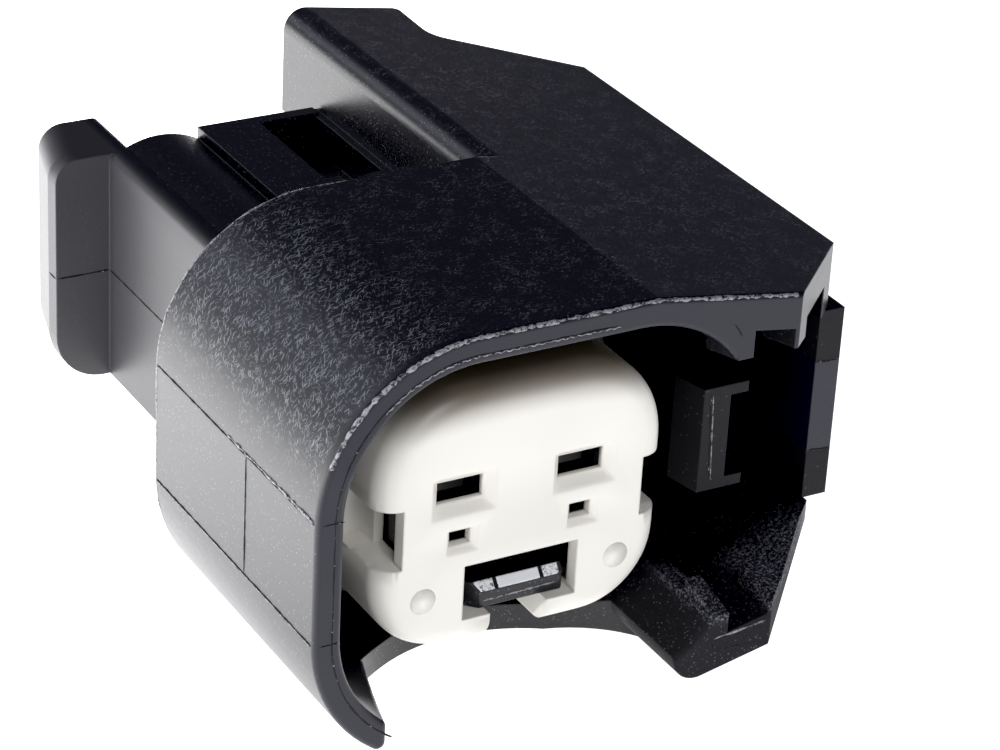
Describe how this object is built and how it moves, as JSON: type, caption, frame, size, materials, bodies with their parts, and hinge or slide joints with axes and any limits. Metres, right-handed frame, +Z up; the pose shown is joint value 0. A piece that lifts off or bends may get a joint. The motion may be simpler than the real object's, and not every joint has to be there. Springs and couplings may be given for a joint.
{
  "type": "sealed automotive connector",
  "caption": "Sealed plug connector with a rounded shroud, sloping latch guards, white lock piece, side latch lever, ring seal and wire-end wings.",
  "frame": {"origin": "centre of the white lock piece's front face, on the mating axis", "axes": "-Y out of the mouth towards the mating part, +Y towards the wires, +X towards the latch side, +Z up"},
  "size_m": [0.0254, 0.0299, 0.0172],
  "materials": {
    "housing_plastic": "semi-gloss, glass filled",
    "lever_plastic": "semi-gloss, glass filled",
    "lock_plastic": "satin",
    "seal_rubber": "satin",
    "contact_metal": "tin plated, satin"
  },
  "bodies": {
    "shell": {"housing": "housing_plastic", "interface_seal": "seal_rubber", "rear_cover": "housing_plastic", "wire_seal_left": "seal_rubber", "wire_seal_right": "seal_rubber", "contact_left": "contact_metal", "contact_right": "contact_metal"},
    "lock": {"front_lock": "lock_plastic"},
    "lever": {"latch_lever": "lever_plastic"}
  },
  "joints": [
    {"name": "lock_slide", "type": "slide", "parent": "shell", "child": "lock", "axis": [0, -1, 0], "range_m": [0, 0.0015]},
    {"name": "lever_pivot", "type": "hinge", "parent": "shell", "child": "lever", "pos_m": [0.0119, 0.013, 0], "axis": [0, 0, 1], "range_deg": [0, 8], "stiffness_Nm_per_rad": 0.05}
  ]
}
